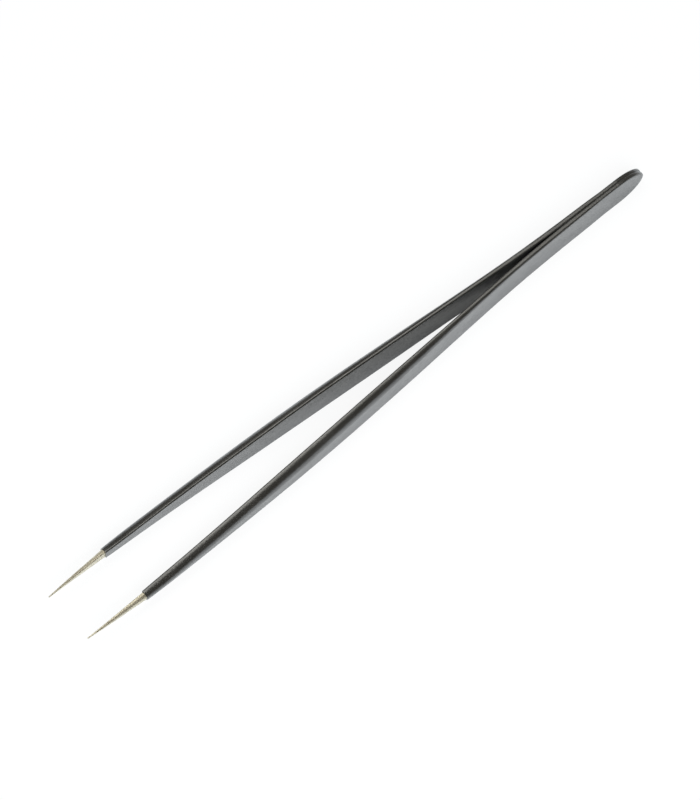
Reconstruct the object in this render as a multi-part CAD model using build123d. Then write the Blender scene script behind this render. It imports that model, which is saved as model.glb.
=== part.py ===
from build123d import *
import os

LENGTH = 140.0
BLADE_WIDTH = 7.2
TIP_OPENING = 10.8
FRONT_THICKNESS = 1.55
SPRING_THICKNESS = 0.6
TIP_POINT = 0.2
COAT_THICKNESS = 0.2
COAT_START = 13.4
COATS_JOINED = 18.5
BLADES_JOINED = 10.0
END_ROUNDING = 6.0

HALF_WIDTH = BLADE_WIDTH / 2.0
STEEL_HALF_WIDTH = HALF_WIDTH - COAT_THICKNESS
HALF_OPENING = TIP_OPENING / 2.0
EXTRA_THICKNESS = FRONT_THICKNESS - SPRING_THICKNESS
STEEL_EDGE = 0.6 * COAT_THICKNESS
COAT_EDGE = 1.2 * COAT_THICKNESS
EDGE_LIMIT = 0.3
SEAM_OVERLAP = 0.3 * COAT_THICKNESS
COATS_MEET = LENGTH - COATS_JOINED
BLADES_MEET = LENGTH - BLADES_JOINED
QUARTER = 0.5523

# Each row is one cross-section of an arm, from the front end of the coat to where the
# two coats meet: share of that way, share of the half opening, share of the half width,
# share of the thickening in front of the spring, flat share of the outer side, and flat
# share of the upper and lower edge.
ARM_ROWS = [
    (0.0, 0.944, 0.285, 0.59, 0.10, 0.04),
    (0.090, 0.893, 0.405, 0.83, 0.20, 0.04),
    (0.200, 0.817, 0.590, 0.90, 0.34, 0.04),
    (0.330, 0.702, 0.800, 1.00, 0.43, 0.05),
    (0.480, 0.558, 0.970, 0.84, 0.52, 0.07),
    (0.610, 0.406, 1.000, 0.61, 0.62, 0.12),
    (0.750, 0.242, 1.000, 0.14, 0.80, 0.28),
    (0.870, 0.092, 1.000, 0.00, 0.88, 0.48),
    (1.0, 0.0, 1.000, 0.00, 0.91, 0.58),
]
# The bare tip, from its point back to the coat: share of that way, share of the half
# opening, and the growth of half width and thickness to those at the coat's end.
TIP_ROWS = [
    (0.0, 1.000, 0.0, 0.0),
    (0.35, 0.986, 0.39, 0.38),
    (0.70, 0.964, 0.73, 0.71),
]


def quarter(start, end, corner):
    """A quarter of an ellipse between two points, bulging towards the corner."""
    a, b, c = Vector(*start), Vector(*end), Vector(*corner)
    return Edge.make_bezier(a, a + (c - a) * QUARTER, b + (c - b) * QUARTER, b)


def straight(start, end):
    return Edge.make_line(Vector(*start), Vector(*end))


def ground_edge(start, end, corner):
    """The inner edge of the steel, ground off flat."""
    return straight(start, end)


def section(row, skin, largest_edge, inner_edge):
    """The outline of one cross-section, grown by a skin."""
    x, inner, outer, half, flat, top = row
    near, far, level = inner - skin, outer + skin, half + skin
    edge = min(largest_edge, EDGE_LIMIT * level, EDGE_LIMIT * (far - near))
    rim, flat_end = near + edge, level * flat
    turn = rim + (far - rim) * top
    return Wire([
        inner_edge((x, near, edge - level), (x, rim, -level), (x, near, -level)),
        straight((x, rim, -level), (x, turn, -level)),
        quarter((x, turn, -level), (x, far, -flat_end), (x, far, -level)),
        straight((x, far, -flat_end), (x, far, flat_end)),
        quarter((x, far, flat_end), (x, turn, level), (x, far, level)),
        straight((x, turn, level), (x, rim, level)),
        inner_edge((x, rim, level), (x, near, level - edge), (x, near, level)),
        straight((x, near, level - edge), (x, near, edge - level)),
    ])


def blade_row(row):
    """Steel sizes at one arm row: x, inner side, outer side, half width, flat shares."""
    share, gap, width, thick, flat, top = row
    x = COAT_START + (COATS_MEET - COAT_START) * share
    inner = HALF_OPENING * gap + COAT_THICKNESS
    thickness = SPRING_THICKNESS + EXTRA_THICKNESS * thick
    return (x, inner, inner + thickness, STEEL_HALF_WIDTH * width, flat, top)


def tip_row(row):
    """Steel sizes at one row of the bare tip, in the same order."""
    share, gap, width, thick = row
    x_end, inner_end, outer_end, half_end, flat, top = blade_row(ARM_ROWS[0])
    point = TIP_POINT / 2.0
    inner = HALF_OPENING * gap + COAT_THICKNESS * share
    half = point + (half_end - point) * width
    thickness = TIP_POINT + (outer_end - inner_end - TIP_POINT) * thick
    return (x_end * share, inner, inner + thickness, half, flat, top)


def butt_row(inner):
    """Sizes of one blade from where the blades meet to the end."""
    shares = ARM_ROWS[-1][4:]
    return (BLADES_MEET, inner, SPRING_THICKNESS, STEEL_HALF_WIDTH, *shares)


def rounded_end(face, half, reach):
    """The upper half of the butt's section turned round its middle and drawn out."""
    upper = Box(LENGTH, LENGTH, LENGTH, align=(Align.CENTER, Align.CENTER, Align.MIN))
    turned = revolve(face & upper, axis=Axis.Y, revolution_arc=180)
    return scale(turned, by=(reach / half, 1, 1))


def blade_form(rows, skin, largest_edge, inner_edge):
    """One arm with its half of the butt, grown by a skin, up to the middle plane."""
    arm = Solid.make_loft([section(row, skin, largest_edge, inner_edge) for row in rows])
    joint = Face(section(rows[-1], skin, largest_edge, inner_edge))
    turn = LENGTH - END_ROUNDING
    butt = extrude(joint, amount=turn - BLADES_MEET, dir=(1, 0, 0))
    reach = END_ROUNDING - COAT_THICKNESS + skin
    end = rounded_end(Pos(-BLADES_MEET, 0, 0) * joint, STEEL_HALF_WIDTH + skin, reach)
    right_half = Box(
        3 * LENGTH,
        4 * TIP_OPENING,
        4 * BLADE_WIDTH,
        align=(Align.CENTER, Align.MIN, Align.CENTER),
    )
    return (arm + butt + Pos(turn, 0, 0) * end) & right_half


def steel_blade():
    """The bare tip and the blade behind it, flat against its twin at the butt."""
    tip_rows = [tip_row(row) for row in TIP_ROWS] + [blade_row(ARM_ROWS[0])]
    tip = Solid.make_loft([section(row, 0.0, STEEL_EDGE, ground_edge) for row in tip_rows])
    rows = [blade_row(row) for row in ARM_ROWS] + [butt_row(0.0)]
    return tip + blade_form(rows, 0.0, STEEL_EDGE, ground_edge)


def coated_pair():
    """The outer form of the coat, filled, with a shallow groove along the seam."""
    rows = [blade_row(row) for row in ARM_ROWS] + [butt_row(COAT_THICKNESS - SEAM_OVERLAP)]
    right = blade_form(rows, COAT_THICKNESS, COAT_EDGE, quarter)
    return right + right.mirror(Plane.XZ)


def place(shape):
    """Lower edges on the ground plane and the length centred on the origin."""
    return Pos(-LENGTH / 2.0, 0, HALF_WIDTH) * shape


right_blade = steel_blade()
left_blade = right_blade.mirror(Plane.XZ)
antistatic_coating = coated_pair() - right_blade - left_blade

os.makedirs("parts", exist_ok=True)
export_step(place(right_blade), "parts/right_blade.step")
export_step(place(left_blade), "parts/left_blade.step")
export_step(place(antistatic_coating), "parts/antistatic_coating.step")
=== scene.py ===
import math

import bmesh
import bpy
from mathutils import Matrix, Vector


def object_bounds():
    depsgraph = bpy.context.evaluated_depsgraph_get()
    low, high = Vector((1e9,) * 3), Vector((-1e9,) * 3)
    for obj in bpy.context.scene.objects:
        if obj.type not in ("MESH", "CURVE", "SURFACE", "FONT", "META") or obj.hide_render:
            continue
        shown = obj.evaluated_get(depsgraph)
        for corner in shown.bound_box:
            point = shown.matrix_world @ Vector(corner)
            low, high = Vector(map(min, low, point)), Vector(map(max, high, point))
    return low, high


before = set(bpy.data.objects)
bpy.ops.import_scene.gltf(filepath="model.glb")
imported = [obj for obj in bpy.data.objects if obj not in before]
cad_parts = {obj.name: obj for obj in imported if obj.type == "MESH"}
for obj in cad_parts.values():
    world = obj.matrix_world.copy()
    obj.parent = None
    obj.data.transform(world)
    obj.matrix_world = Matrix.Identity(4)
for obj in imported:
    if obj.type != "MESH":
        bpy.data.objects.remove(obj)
cad_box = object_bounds()

bl_info = {
    "name": "Anti-static tweezers",
    "version": (1, 0, 0),
    "blender": (4, 5, 0),
    "location": "View3D > Sidebar > Tweezers",
    "description": "Finishes the coated arms and the bare tips, and sets the stage",
    "category": "Object",
}

MM = 0.001
SENSOR_HEIGHT = 36.0
WHITE = (1.0, 1.0, 1.0, 1.0)

# How far a pattern is drawn out along the arms: 0.04 makes it 25 times as long as wide.
GRINDING_LINE = (0.02, 1.0, 1.0)
STREAK = (0.04, 1.0, 1.0)
MOTTLE = (0.3, 1.0, 1.0)
POLISH_PATCH = (0.4, 1.0, 1.0)

# The levels of a noise between which a pattern comes in.
CLOUD_LEVELS = (0.35, 0.70)
SPECK_LEVELS = (0.70, 0.74)
STREAK_LEVELS = (0.30, 0.60)
MOTTLE_LEVELS = (0.35, 0.62)
LINE_LEVELS = (0.30, 0.55)
CLOUD_SHARE = 0.8
SPECK_SHARE = 2.0

# Where the mirrored backdrop ends: it fades out as a direction rises, and fades in as it
# turns behind the part. Both are parts of a direction of length 1.
BACKDROP_RISE = (0.0, 0.5)
BACKDROP_REACH = (-0.1, 0.5)

NEAREST_SEEN = 0.05
FARTHEST_SEEN = 20.0


class Value:
    """One output socket of a node, with the arithmetic that the finishes use."""

    def __init__(self, tree, socket):
        self.tree = tree
        self.socket = socket

    def math(self, operation, *others, clamp=False):
        node = self.tree.nodes.new("ShaderNodeMath")
        node.operation = operation
        node.use_clamp = clamp
        for socket, value in zip(node.inputs, others):
            feed(self.tree, socket, value)
        return Value(self.tree, node.outputs[0])

    def __add__(self, other):
        return self.math("ADD", self, other)

    def __radd__(self, other):
        return self.math("ADD", other, self)

    def __sub__(self, other):
        return self.math("SUBTRACT", self, other)

    def __rsub__(self, other):
        return self.math("SUBTRACT", other, self)

    def __mul__(self, other):
        return self.math("MULTIPLY", self, other)

    def __rmul__(self, other):
        return self.math("MULTIPLY", other, self)

    def clamped(self):
        return self.math("ADD", self, 0.0, clamp=True)

    def step(self, low, high):
        """0 below low and 1 above high, with a smooth rise between them."""
        node = self.tree.nodes.new("ShaderNodeMapRange")
        node.interpolation_type = "SMOOTHSTEP"
        for name, value in (("Value", self), ("From Min", low), ("From Max", high)):
            feed(self.tree, node.inputs[name], value)
        return Value(self.tree, node.outputs["Result"])


def feed(tree, socket, value):
    """Gives a socket a link or a plain value."""
    if isinstance(value, Value):
        tree.links.new(value.socket, socket)
    else:
        socket.default_value = value


class Finish:
    """A node tree that is emptied and then filled node by node."""

    def __init__(self, owner):
        owner.use_nodes = True
        self.tree = owner.node_tree
        self.tree.nodes.clear()

    def node(self, kind, settings=None, values=None, output=0):
        """Adds a node: its settings first, then the values or links of its sockets."""
        made = self.tree.nodes.new(kind)
        for name, value in (settings or {}).items():
            setattr(made, name, value)
        for name, value in (values or {}).items():
            feed(self.tree, made.inputs[name], value)
        return Value(self.tree, made.outputs[output])

    def place(self, stretch=(1.0, 1.0, 1.0)):
        """Places on the object in metres, stretched along each axis."""
        spot = self.node("ShaderNodeTexCoord", output="Object")
        values = {0: spot, 1: stretch}
        return self.node("ShaderNodeVectorMath", {"operation": "MULTIPLY"}, values)

    def noise(self, size, detail=2.0, stretch=(1.0, 1.0, 1.0)):
        """Noise from 0 to 1 whose lumps have about that size in metres."""
        values = {"Vector": self.place(stretch), "Scale": 1.0 / size, "Detail": detail}
        return self.node("ShaderNodeTexNoise", values=values)

    def blend(self, amount, low, high):
        """A colour between two, by a number from 0 to 1."""
        # The node repeats its socket names for each data type, so numbers tell them apart.
        values = {0: amount, 6: low, 7: high}
        return self.node("ShaderNodeMix", {"data_type": "RGBA"}, values, output=2)

    def bump(self, height):
        """A normal from a height in metres."""
        values = {"Height": height, "Distance": 1.0, "Strength": 1.0}
        return self.node("ShaderNodeBump", values=values)

    def ray(self, kind):
        """1 for rays of one kind and 0 for all others."""
        return self.node("ShaderNodeLightPath", output=kind)

    def seen(self):
        """1 where the camera sees the place, also through something clear."""
        return (self.ray("Is Camera Ray") + self.ray("Is Transmission Ray")).clamped()

    def surface(self, values):
        """Ends the tree in one principled surface."""
        self.end(self.node("ShaderNodeBsdfPrincipled", values=values))

    def end(self, shader, kind="ShaderNodeOutputMaterial"):
        feed(self.tree, self.tree.nodes.new(kind).inputs["Surface"], shader)


def new_finish(name):
    material = bpy.data.materials.new(name)
    return material, Finish(material)


def opaque(colour):
    return (colour[0], colour[1], colour[2], 1.0)


class CoatSettings(bpy.types.PropertyGroup):
    """The black conductive lacquer on the arms."""

    colour: bpy.props.FloatVectorProperty(
        name="Colour",
        description="Colour of the cured coat",
        default=(0.011, 0.0112, 0.0108),
        min=0.0,
        max=1.0,
        subtype="COLOR",
    )
    faded: bpy.props.FloatVectorProperty(
        name="Faded colour",
        description="Colour where the coat is a little thinner",
        default=(0.020, 0.0203, 0.0198),
        min=0.0,
        max=1.0,
        subtype="COLOR",
    )
    roughness: bpy.props.FloatProperty(
        name="Roughness",
        description="Mean roughness of the satin surface",
        default=0.35,
        min=0.0,
        max=1.0,
        subtype="FACTOR",
    )
    sheen: bpy.props.FloatProperty(
        name="Clear layer",
        description="Share of the smoother skin on top of the pigment",
        default=1.0,
        min=0.0,
        max=1.0,
        subtype="FACTOR",
    )
    sheen_roughness: bpy.props.FloatProperty(
        name="Clear layer roughness",
        description="Roughness of that skin",
        default=0.27,
        min=0.0,
        max=1.0,
        subtype="FACTOR",
    )
    thinning: bpy.props.FloatProperty(
        name="Thinning",
        description="How much thinner that skin is in streaks and patches",
        default=0.2,
        min=0.0,
        max=1.0,
        subtype="FACTOR",
    )
    unevenness: bpy.props.FloatProperty(
        name="Unevenness",
        description="How far the roughness swings along streaks and patches",
        default=0.12,
        min=0.0,
        max=1.0,
        subtype="FACTOR",
    )
    density: bpy.props.FloatProperty(
        name="Refraction",
        description="Refractive index of the lacquer and of the skin on it",
        default=1.65,
        min=1.0,
        max=2.5,
    )
    cloud_size: bpy.props.FloatProperty(
        name="Cloud size",
        description="Size of the slow changes of colour",
        default=6.0 * MM,
        unit="LENGTH",
        subtype="DISTANCE",
    )
    mottle_size: bpy.props.FloatProperty(
        name="Patch size",
        description="Width of the duller patches",
        default=1.4 * MM,
        unit="LENGTH",
        subtype="DISTANCE",
    )
    speck_size: bpy.props.FloatProperty(
        name="Speck size",
        description="Size of the few pale specks",
        default=0.22 * MM,
        unit="LENGTH",
        subtype="DISTANCE",
    )
    peel_size: bpy.props.FloatProperty(
        name="Ripple size",
        description="Size of the soft ripple left by spraying",
        default=0.9 * MM,
        unit="LENGTH",
        subtype="DISTANCE",
    )
    peel_depth: bpy.props.FloatProperty(
        name="Ripple depth",
        description="Depth of that ripple",
        default=0.004 * MM,
        unit="LENGTH",
        subtype="DISTANCE",
    )
    streak_size: bpy.props.FloatProperty(
        name="Streak width",
        description="Width of the faint lines that the ground steel leaves in the coat",
        default=0.3 * MM,
        unit="LENGTH",
        subtype="DISTANCE",
    )
    streak_depth: bpy.props.FloatProperty(
        name="Streak depth",
        description="Depth of those lines",
        default=0.0012 * MM,
        unit="LENGTH",
        subtype="DISTANCE",
    )
    grain_size: bpy.props.FloatProperty(
        name="Grain size",
        description="Size of the powder grain in the coat",
        default=0.11 * MM,
        unit="LENGTH",
        subtype="DISTANCE",
    )
    grain_depth: bpy.props.FloatProperty(
        name="Grain depth",
        description="Depth of the powder grain",
        default=0.001 * MM,
        unit="LENGTH",
        subtype="DISTANCE",
    )


class SteelSettings(bpy.types.PropertyGroup):
    """The bare stainless tips."""

    colour: bpy.props.FloatVectorProperty(
        name="Colour",
        description="Colour of the polished steel",
        default=(0.76, 0.72, 0.60),
        min=0.0,
        max=1.0,
        subtype="COLOR",
    )
    shade: bpy.props.FloatVectorProperty(
        name="Line colour",
        description="Colour in the fine grinding lines",
        default=(0.64, 0.59, 0.47),
        min=0.0,
        max=1.0,
        subtype="COLOR",
    )
    roughness: bpy.props.FloatProperty(
        name="Roughness",
        description="Mean roughness of the ground surface",
        default=0.56,
        min=0.0,
        max=1.0,
        subtype="FACTOR",
    )
    unevenness: bpy.props.FloatProperty(
        name="Unevenness",
        description="How far the roughness swings from patch to patch",
        default=0.12,
        min=0.0,
        max=1.0,
        subtype="FACTOR",
    )
    patch_size: bpy.props.FloatProperty(
        name="Patch size",
        description="Width of a patch of finer or coarser polish",
        default=1.6 * MM,
        unit="LENGTH",
        subtype="DISTANCE",
    )
    line_shade: bpy.props.FloatProperty(
        name="Line strength",
        description="How far the lines take on their own colour",
        default=0.6,
        min=0.0,
        max=1.0,
        subtype="FACTOR",
    )
    line_roughness: bpy.props.FloatProperty(
        name="Line roughness",
        description="How much rougher a line is at full strength",
        default=0.1,
        min=0.0,
        max=1.0,
        subtype="FACTOR",
    )
    line_size: bpy.props.FloatProperty(
        name="Line width",
        description="Width of a grinding line",
        default=0.12 * MM,
        unit="LENGTH",
        subtype="DISTANCE",
    )
    line_depth: bpy.props.FloatProperty(
        name="Line depth",
        description="Depth of a grinding line",
        default=0.0002 * MM,
        unit="LENGTH",
        subtype="DISTANCE",
    )


class StageSettings(bpy.types.PropertyGroup):
    """Floor, light and camera."""

    floor_half: bpy.props.FloatProperty(
        name="Floor half side",
        description="Half the side of the square floor",
        default=1.5,
        unit="LENGTH",
        subtype="DISTANCE",
    )
    floor_tone: bpy.props.FloatVectorProperty(
        name="Floor tone",
        description="Tone of the floor in its own light and shade",
        default=(0.89, 0.915, 0.935),
        min=0.0,
        max=1.0,
        subtype="COLOR",
    )
    shade_share: bpy.props.FloatProperty(
        name="Shadow share",
        description="How much of the floor's look follows the light, and so the shadow",
        default=0.12,
        min=0.0,
        max=1.0,
        subtype="FACTOR",
    )
    mirrored_shade: bpy.props.FloatProperty(
        name="Mirrored shadow share",
        description="The same share in the floor that the surfaces mirror",
        default=0.9,
        min=0.0,
        max=1.0,
        subtype="FACTOR",
    )
    surround: bpy.props.FloatVectorProperty(
        name="Surround",
        description="The studio's even light",
        default=(0.10, 0.12, 0.145),
        min=0.0,
        max=1.0,
        subtype="COLOR",
    )
    walls: bpy.props.FloatVectorProperty(
        name="Mirrored walls",
        description="The studio walls as the surfaces mirror them",
        default=(0.125, 0.108, 0.078),
        min=0.0,
        max=1.0,
        subtype="COLOR",
    )
    backdrop: bpy.props.FloatVectorProperty(
        name="Mirrored backdrop",
        description="The lit foot of the wall behind the part, as the surfaces mirror it",
        default=(0.80, 0.80, 0.81),
        min=0.0,
        max=1.0,
        subtype="COLOR",
    )
    lamp_power: bpy.props.FloatProperty(
        name="Lamp power",
        description="Power of the soft box overhead",
        default=1.0,
        min=0.0,
        subtype="POWER",
    )
    lamp_colour: bpy.props.FloatVectorProperty(
        name="Lamp colour",
        description="Slightly warm light of the soft box",
        default=(1.0, 0.99, 0.93),
        min=0.0,
        max=1.0,
        subtype="COLOR",
    )
    lamp_sides: bpy.props.FloatVectorProperty(
        name="Lamp sides",
        description="Length and width of the soft box",
        default=(0.44, 0.23),
        size=2,
        unit="LENGTH",
        subtype="TRANSLATION",
    )
    lamp_place: bpy.props.FloatVectorProperty(
        name="Lamp place",
        description="Middle of the soft box, which faces the part",
        default=(-0.02, 0.075, 0.44),
        unit="LENGTH",
        subtype="TRANSLATION",
    )
    fill_power: bpy.props.FloatProperty(
        name="Fill power",
        description="Power of the large box in front, which no surface mirrors",
        default=11.0,
        min=0.0,
        subtype="POWER",
    )
    fill_side: bpy.props.FloatProperty(
        name="Fill side",
        description="Side of the large square box",
        default=0.6,
        unit="LENGTH",
        subtype="DISTANCE",
    )
    fill_place: bpy.props.FloatVectorProperty(
        name="Fill place",
        description="Middle of the large box",
        default=(-0.2, -0.62, 0.87),
        unit="LENGTH",
        subtype="TRANSLATION",
    )
    view_turn: bpy.props.FloatProperty(
        name="View turn",
        description="Turn of the view about the vertical",
        default=math.radians(-40.843),
        unit="ROTATION",
        subtype="ANGLE",
    )
    view_rise: bpy.props.FloatProperty(
        name="View rise",
        description="Rise of the view above the floor",
        default=math.radians(64.020),
        unit="ROTATION",
        subtype="ANGLE",
    )
    view_distance: bpy.props.FloatProperty(
        name="View distance",
        description="Distance of the camera from the part",
        default=2.0,
        unit="LENGTH",
        subtype="DISTANCE",
    )
    view_height: bpy.props.FloatProperty(
        name="View height",
        description="Height of what the frame takes in at that distance",
        default=147.94 * MM,
        unit="LENGTH",
        subtype="DISTANCE",
    )
    aim_height: bpy.props.FloatProperty(
        name="Aim height",
        description="Height above the floor of the point that the view is set from",
        default=3.4 * MM,
        unit="LENGTH",
        subtype="DISTANCE",
    )
    aside: bpy.props.FloatVectorProperty(
        name="View aside",
        description="How far the middle of the frame lies right of and above that point",
        default=(-1.372 * MM, -1.2 * MM),
        size=2,
        unit="LENGTH",
        subtype="TRANSLATION",
    )


def settings():
    return bpy.context.scene.tweezers


class TweezersSettings(bpy.types.PropertyGroup):
    """All sizes and colours in one place."""

    coat: bpy.props.PointerProperty(type=CoatSettings)
    steel: bpy.props.PointerProperty(type=SteelSettings)
    stage: bpy.props.PointerProperty(type=StageSettings)


def dress(node_name, material):
    """Gives a solid of the frame its finish."""
    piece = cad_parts[node_name]
    piece.data.materials.clear()
    piece.data.materials.append(material)


class TWEEZERS_OT_coat_arms(bpy.types.Operator):
    """Lacquer both arms black, satin, with a fine powder grain"""

    bl_idname = "tweezers.coat_arms"
    bl_label = "Coat the arms"

    def execute(self, context):
        look = settings().coat
        material, finish = new_finish("black_satin_lacquer")
        cloud = finish.noise(look.cloud_size, detail=3.0).step(*CLOUD_LEVELS)
        ripple = finish.noise(look.peel_size, detail=0.0)
        streaks = finish.noise(look.streak_size, detail=2.0, stretch=STREAK)
        mottle = finish.noise(look.mottle_size, detail=3.0, stretch=MOTTLE)
        grain = finish.noise(look.grain_size, detail=1.0)
        specks = finish.noise(look.speck_size, detail=0.0).step(*SPECK_LEVELS)
        pale = (cloud * CLOUD_SHARE + specks * SPECK_SHARE).clamped()
        thin = (1.0 - streaks.step(*STREAK_LEVELS)) + (1.0 - mottle.step(*MOTTLE_LEVELS))
        height = ripple * look.peel_depth + streaks * look.streak_depth
        finish.surface({
            "Base Color": finish.blend(pale, opaque(look.colour), opaque(look.faded)),
            "Roughness": look.roughness + (streaks + mottle - 1.0) * look.unevenness,
            "IOR": look.density,
            "Coat Weight": look.sheen - thin * look.thinning,
            "Coat Roughness": look.sheen_roughness,
            "Coat IOR": look.density,
            "Normal": finish.bump(height + grain * look.grain_depth),
        })
        dress("antistatic_coating", material)
        return {"FINISHED"}


class TWEEZERS_OT_grind_tips(bpy.types.Operator):
    """Give the bare steel its warm tone and its fine lines along the length"""

    bl_idname = "tweezers.grind_tips"
    bl_label = "Grind the tips"

    def execute(self, context):
        look = settings().steel
        material, finish = new_finish("ground_stainless")
        lines = finish.noise(look.line_size, detail=2.0, stretch=GRINDING_LINE)
        patches = finish.noise(look.patch_size, detail=2.0, stretch=POLISH_PATCH)
        dark = (1.0 - lines.step(*LINE_LEVELS)) * look.line_shade
        uneven = (patches - 0.5) * look.unevenness + dark * look.line_roughness
        finish.surface({
            "Base Color": finish.blend(dark, opaque(look.colour), opaque(look.shade)),
            "Metallic": 1.0,
            "Roughness": look.roughness + uneven,
            "Normal": finish.bump(lines * look.line_depth),
        })
        for name in ("left_blade", "right_blade"):
            dress(name, material)
        return {"FINISHED"}


def white_floor(look):
    """A floor that shows white and keeps the part's shadow."""
    material, finish = new_finish("white_floor")
    tone = opaque(look.floor_tone)
    lit = finish.node("ShaderNodeBsdfDiffuse", values={"Color": tone})
    white = finish.node("ShaderNodeEmission", values={"Color": WHITE, "Strength": 1.0})
    share = (
        finish.seen() * (1.0 - look.shade_share)
        + finish.ray("Is Glossy Ray") * (1.0 - look.mirrored_shade)
    )
    values = {0: share, 1: lit, 2: white}
    finish.end(finish.node("ShaderNodeMixShader", values=values))
    return material


def studio_world(look):
    """White to the camera, an even soft light, and dim walls where it is mirrored."""
    world = bpy.data.worlds.new("studio")
    bpy.context.scene.world = world
    finish = Finish(world)
    direction = finish.node("ShaderNodeTexCoord", output="Generated")
    height = finish.node("ShaderNodeSeparateXYZ", values={0: direction}, output="Z")
    behind = finish.node("ShaderNodeSeparateXYZ", values={0: direction}, output="Y")
    glow = (1.0 - height.step(*BACKDROP_RISE)) * behind.step(*BACKDROP_REACH)
    wall = finish.blend(glow, opaque(look.walls), opaque(look.backdrop))
    around = finish.blend(finish.ray("Is Glossy Ray"), opaque(look.surround), wall)
    values = {"Color": finish.blend(finish.seen(), around, WHITE), "Strength": 1.0}
    shader = finish.node("ShaderNodeBackground", values=values)
    finish.end(shader, "ShaderNodeOutputWorld")


def add_lamp(name, place, sides, power):
    """An area lamp that faces the part."""
    lamp = bpy.data.lights.new(name, "AREA")
    lamp.energy = power
    lamp.shape = "RECTANGLE"
    lamp.size, lamp.size_y = sides
    holder = bpy.data.objects.new(name, lamp)
    holder.location = place
    holder.rotation_euler = holder.location.to_track_quat("Z", "Y").to_euler()
    bpy.context.scene.collection.objects.link(holder)
    return holder


def add_camera(look):
    turn, rise = look.view_turn, look.view_rise
    right = Vector((math.cos(turn), math.sin(turn), 0.0))
    up = Vector((
        -math.sin(turn) * math.sin(rise),
        math.cos(turn) * math.sin(rise),
        math.cos(rise),
    ))
    back = Vector((
        math.sin(turn) * math.cos(rise),
        -math.cos(turn) * math.cos(rise),
        math.sin(rise),
    ))
    camera = bpy.data.objects.new("camera", bpy.data.cameras.new("camera"))
    camera.data.sensor_fit = "VERTICAL"
    camera.data.sensor_height = SENSOR_HEIGHT
    camera.data.lens = SENSOR_HEIGHT * look.view_distance / look.view_height
    camera.data.clip_start = NEAREST_SEEN
    camera.data.clip_end = FARTHEST_SEEN
    middle = Vector((0.0, 0.0, look.aim_height))
    middle += right * look.aside[0] + up * look.aside[1]
    turned = Matrix((right, up, back)).transposed().to_4x4()
    camera.matrix_world = Matrix.Translation(middle + back * look.view_distance) @ turned
    bpy.context.scene.collection.objects.link(camera)
    bpy.context.scene.camera = camera


class TWEEZERS_OT_set_stage(bpy.types.Operator):
    """Lay the white floor and set the light and the camera"""

    bl_idname = "tweezers.set_stage"
    bl_label = "Set the stage"

    def execute(self, context):
        look = settings().stage
        mesh = bpy.data.meshes.new("floor")
        shape = bmesh.new()
        bmesh.ops.create_grid(shape, x_segments=1, y_segments=1, size=look.floor_half)
        shape.to_mesh(mesh)
        shape.free()
        floor = bpy.data.objects.new("floor", mesh)
        floor.location.z = cad_box[0][2]
        floor.data.materials.append(white_floor(look))
        context.scene.collection.objects.link(floor)

        box = add_lamp("soft_box", look.lamp_place, look.lamp_sides, look.lamp_power)
        box.data.color = look.lamp_colour
        fill_sides = (look.fill_side, look.fill_side)
        fill = add_lamp("front_box", look.fill_place, fill_sides, look.fill_power)
        fill.visible_glossy = False

        studio_world(look)
        add_camera(look)
        context.scene.view_settings.view_transform = "Standard"
        return {"FINISHED"}


class TWEEZERS_PT_sidebar(bpy.types.Panel):
    """Lists the finishes and the stage"""

    bl_idname = "TWEEZERS_PT_sidebar"
    bl_label = "Anti-static tweezers"
    bl_space_type = "VIEW_3D"
    bl_region_type = "UI"
    bl_category = "Tweezers"

    def draw(self, context):
        groups = context.scene.tweezers
        for title, group, operator in (
            ("Coat", groups.coat, TWEEZERS_OT_coat_arms),
            ("Tips", groups.steel, TWEEZERS_OT_grind_tips),
            ("Stage", groups.stage, TWEEZERS_OT_set_stage),
        ):
            box = self.layout.box()
            box.label(text=title)
            for name in group.__annotations__:
                box.prop(group, name)
            box.operator(operator.bl_idname)


CLASSES = (
    CoatSettings,
    SteelSettings,
    StageSettings,
    TweezersSettings,
    TWEEZERS_OT_coat_arms,
    TWEEZERS_OT_grind_tips,
    TWEEZERS_OT_set_stage,
    TWEEZERS_PT_sidebar,
)


def register():
    for made in CLASSES:
        bpy.utils.register_class(made)
    bpy.types.Scene.tweezers = bpy.props.PointerProperty(type=TweezersSettings)


def unregister():
    del bpy.types.Scene.tweezers
    for made in reversed(CLASSES):
        bpy.utils.unregister_class(made)


def main():
    register()
    bpy.ops.tweezers.coat_arms()
    bpy.ops.tweezers.grind_tips()
    bpy.ops.tweezers.set_stage()


if __name__ == "__main__":
    main()
